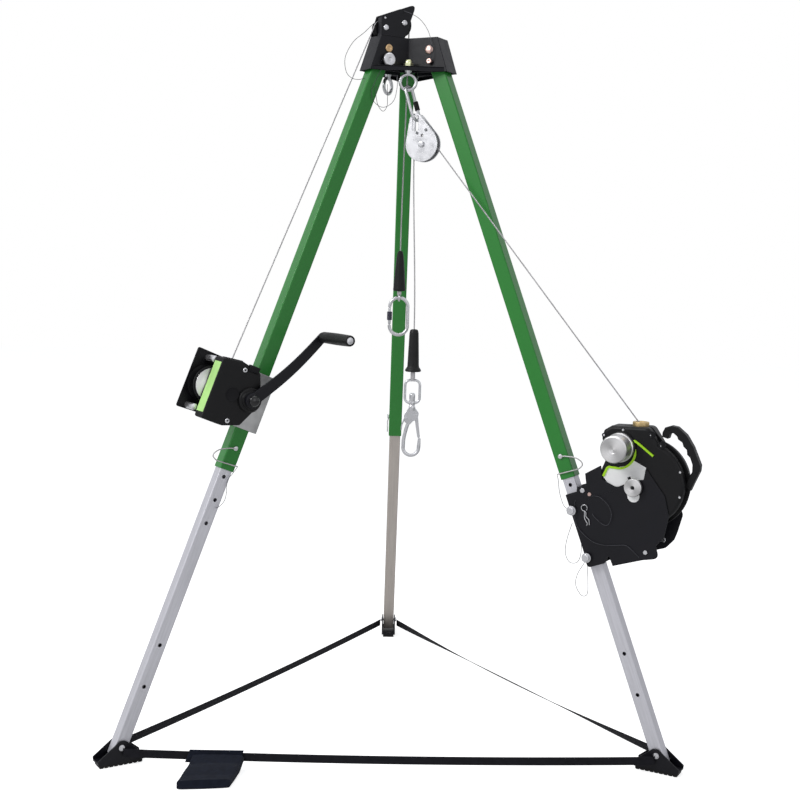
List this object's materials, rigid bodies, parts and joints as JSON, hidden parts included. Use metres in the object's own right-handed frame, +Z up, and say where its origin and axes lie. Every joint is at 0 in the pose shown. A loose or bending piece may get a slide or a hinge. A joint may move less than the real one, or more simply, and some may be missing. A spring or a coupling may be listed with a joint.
{
  "type": "lifting tripod",
  "caption": "Three-legged lifting frame with telescopic legs, a leg-mounted crank winch over head sheaves, a fall-arrest retrieval unit, ropes and foot straps.",
  "frame": {"origin": "on the floor, at the middle of the part's box without its free cords", "axes": "+Z up the tripod, -Y towards the pictured front, +X to its right"},
  "size_m": [1.782, 1.6758, 2.3489],
  "materials": {
    "green_paint": "gloss powder coat",
    "silver_tube": "silver grey satin coat",
    "black_paint": "semi-gloss black coat",
    "black_plastic": "satin moulded black",
    "bright_steel": "bright zinc plated",
    "brushed_steel": "turned and brushed",
    "brass": "satin brass",
    "rope_steel": "galvanised wire rope",
    "webbing": "woven black webbing",
    "pouch_cloth": "dark cloth",
    "grip_rubber": "matt black rubber"
  },
  "bodies": {
    "head": {"block_carabiner": "bright_steel", "block_cheek_front": "bright_steel", "block_cheek_rear": "bright_steel", "eye_front": "bright_steel", "eye_rear": "bright_steel", "head_frame": "black_paint", "lanyard_head": "rope_steel", "pivot_bolt_back": "brass", "pivot_bolt_left": "brass", "pivot_bolt_right": "brass", "recovery_bumper": "grip_rubber", "recovery_rope": "rope_steel", "sheave_axle_inner": "bright_steel", "sheave_axle_outer": "bright_steel", "strap_front": "webbing", "strap_left": "webbing", "strap_pouch": "pouch_cloth", "strap_right": "webbing", "swivel_link": "bright_steel", "winch_bumper": "grip_rubber", "winch_rope": "rope_steel", "winch_thimble": "bright_steel"},
    "upper_leg_left": {"leg_upper_left": "green_paint", "adjusting_pin_left": "bright_steel", "winch_bracket": "silver_tube", "winch_frame": "black_paint", "winch_cover": "black_plastic", "winch_rope_run": "rope_steel"},
    "lower_leg_left": {"leg_lower_left": "silver_tube"},
    "foot_left": {"foot_left": "black_paint"},
    "lock_pin_left": {"lock_pin_left": "bright_steel"},
    "upper_leg_right": {"leg_upper_right": "green_paint", "adjusting_pin_right": "bright_steel"},
    "lower_leg_right": {"leg_lower_right": "silver_tube", "unit_bracket": "black_paint", "unit_housing": "black_plastic", "unit_collar": "brass", "recovery_rope_tail": "rope_steel", "lanyard_unit": "rope_steel"},
    "foot_right": {"foot_right": "black_paint"},
    "lock_pin_right": {"lock_pin_right": "bright_steel"},
    "upper_leg_back": {"leg_upper_back": "green_paint", "adjusting_pin_back": "bright_steel"},
    "lower_leg_back": {"leg_lower_back": "silver_tube"},
    "foot_back": {"foot_back": "black_paint"},
    "lock_pin_back": {"lock_pin_back": "bright_steel"},
    "winch_crank": {"winch_crank": "black_paint"},
    "winch_grip": {"winch_grip": "grip_rubber"},
    "winch_drum": {"winch_drum": "brushed_steel", "winch_drum_rope": "rope_steel"},
    "sheave_outer": {"sheave_outer": "bright_steel"},
    "sheave_inner": {"sheave_inner": "bright_steel"},
    "block_sheave": {"block_sheave": "bright_steel"},
    "unit_knob": {"unit_knob": "brushed_steel"},
    "unit_selector": {"unit_selector": "brushed_steel"},
    "carabiner": {"carabiner": "bright_steel"},
    "carabiner_gate": {"carabiner_gate": "bright_steel"},
    "swivel_hook": {"swivel_hook": "bright_steel"},
    "hook_gate": {"hook_gate": "bright_steel"},
    "hook_lever": {"hook_lever": "bright_steel"}
  },
  "joints": [
    {"name": "leg_fold_left", "type": "hinge", "parent": "head", "child": "upper_leg_left", "pos_m": [-0.08483, -0.22097, 2.205], "axis": [0.5, -0.866, 0], "range_deg": [0, 9]},
    {"name": "leg_extend_left", "type": "slide", "parent": "upper_leg_left", "child": "lower_leg_left", "axis": [-0.3164, -0.1827, -0.9309], "range_m": [-0.7, 0.075]},
    {"name": "foot_tilt_left", "type": "hinge", "parent": "lower_leg_left", "child": "foot_left", "pos_m": [-0.81565, -0.64291, 0.055], "axis": [0.5, -0.866, 0], "range_deg": [-20, 20]},
    {"name": "lock_pin_pull_left", "type": "slide", "parent": "head", "child": "lock_pin_left", "axis": [0.5, -0.866, 0], "range_m": [0, 0.012], "stiffness_N_per_m": 500},
    {"name": "leg_fold_right", "type": "hinge", "parent": "head", "child": "upper_leg_right", "pos_m": [0.08058, -0.22097, 2.205], "axis": [0.5, 0.866, 0], "range_deg": [0, 12]},
    {"name": "leg_extend_right", "type": "slide", "parent": "upper_leg_right", "child": "lower_leg_right", "axis": [0.3164, -0.1827, -0.9309], "range_m": [0, 0.25]},
    {"name": "foot_tilt_right", "type": "hinge", "parent": "lower_leg_right", "child": "foot_right", "pos_m": [0.8114, -0.64291, 0.055], "axis": [0.5, 0.866, 0], "range_deg": [-20, 20]},
    {"name": "lock_pin_pull_right", "type": "slide", "parent": "head", "child": "lock_pin_right", "axis": [-0.5, -0.866, 0], "range_m": [0, 0.012], "stiffness_N_per_m": 500},
    {"name": "leg_fold_back", "type": "hinge", "parent": "head", "child": "upper_leg_back", "pos_m": [-0.00212, -0.07772, 2.205], "axis": [-1, 0, 0], "range_deg": [0, 15]},
    {"name": "leg_extend_back", "type": "slide", "parent": "upper_leg_back", "child": "lower_leg_back", "axis": [0, 0.3654, -0.9309], "range_m": [-0.7, 0.075]},
    {"name": "foot_tilt_back", "type": "hinge", "parent": "lower_leg_back", "child": "foot_back", "pos_m": [-0.00212, 0.76615, 0.055], "axis": [-1, 0, 0], "range_deg": [-20, 20]},
    {"name": "lock_pin_pull_back", "type": "slide", "parent": "head", "child": "lock_pin_back", "axis": [-1, 0, 0], "range_m": [0, 0.012], "stiffness_N_per_m": 500},
    {"name": "winch_crank_turn", "type": "hinge", "parent": "upper_leg_left", "child": "winch_crank", "pos_m": [-0.49636, -0.45857, 1.08735], "axis": [0.5, -0.866, 0], "continuous": true},
    {"name": "winch_grip_turn", "type": "hinge", "parent": "winch_crank", "child": "winch_grip", "pos_m": [-0.29352, -0.34146, 1.27903], "axis": [0.5, -0.866, 0], "continuous": true},
    {"name": "winch_drum_turn", "type": "hinge", "parent": "upper_leg_left", "child": "winch_drum", "pos_m": [-0.58812, -0.51155, 1.13216], "axis": [0.5, -0.866, 0], "continuous": true},
    {"name": "sheave_outer_turn", "type": "hinge", "parent": "head", "child": "sheave_outer", "pos_m": [-0.09609, -0.22747, 2.2691], "axis": [0.5, -0.866, 0], "continuous": true},
    {"name": "sheave_inner_turn", "type": "hinge", "parent": "head", "child": "sheave_inner", "pos_m": [-0.03676, -0.19322, 2.2916], "axis": [0.5, -0.866, 0], "continuous": true},
    {"name": "block_sheave_turn", "type": "hinge", "parent": "head", "child": "block_sheave", "pos_m": [0.05134, -0.27546, 1.8995], "axis": [0.454, 0.891, 0], "continuous": true},
    {"name": "unit_knob_turn", "type": "hinge", "parent": "lower_leg_right", "child": "unit_knob", "pos_m": [0.6858, -0.5704, 0.98284], "axis": [-0.5, -0.866, 0], "continuous": true},
    {"name": "unit_selector_pull", "type": "slide", "parent": "lower_leg_right", "child": "unit_selector", "axis": [-0.5, -0.866, 0], "range_m": [0, 0.006], "stiffness_N_per_m": 400, "springref_m": -0.004},
    {"name": "carabiner_swing", "type": "hinge", "parent": "head", "child": "carabiner", "pos_m": [-0.01012, -0.17322, 1.4025], "axis": [1, 0, 0], "range_deg": [-30, 30]},
    {"name": "carabiner_gate_open", "type": "hinge", "parent": "carabiner", "child": "carabiner_gate", "pos_m": [-0.04012, -0.17322, 1.3161], "axis": [0, 1, 0], "range_deg": [0, 50], "stiffness_Nm_per_rad": 0.1, "springref_deg": -28.65},
    {"name": "hook_swivel", "type": "hinge", "parent": "head", "child": "swivel_hook", "pos_m": [0.04038, -0.27022, 1.064], "axis": [0, 0, 1], "continuous": true},
    {"name": "hook_gate_open", "type": "hinge", "parent": "swivel_hook", "child": "hook_gate", "pos_m": [0.05538, -0.27022, 1.025], "axis": [0, 1, 0], "range_deg": [0, 20], "stiffness_Nm_per_rad": 0.1, "springref_deg": -28.65},
    {"name": "hook_lever_squeeze", "type": "hinge", "parent": "swivel_hook", "child": "hook_lever", "pos_m": [0.02188, -0.27022, 1.015], "axis": [0, -1, 0], "range_deg": [0, 7], "stiffness_Nm_per_rad": 0.1, "springref_deg": -28.65}
  ],
  "couplings": [
    {"joint": "winch_crank_turn", "follows": "winch_drum_turn", "ratio": -4.75},
    {"joint": "sheave_outer_turn", "follows": "winch_drum_turn", "ratio": -1.3901},
    {"joint": "sheave_inner_turn", "follows": "winch_drum_turn", "ratio": -0.8165}
  ]
}
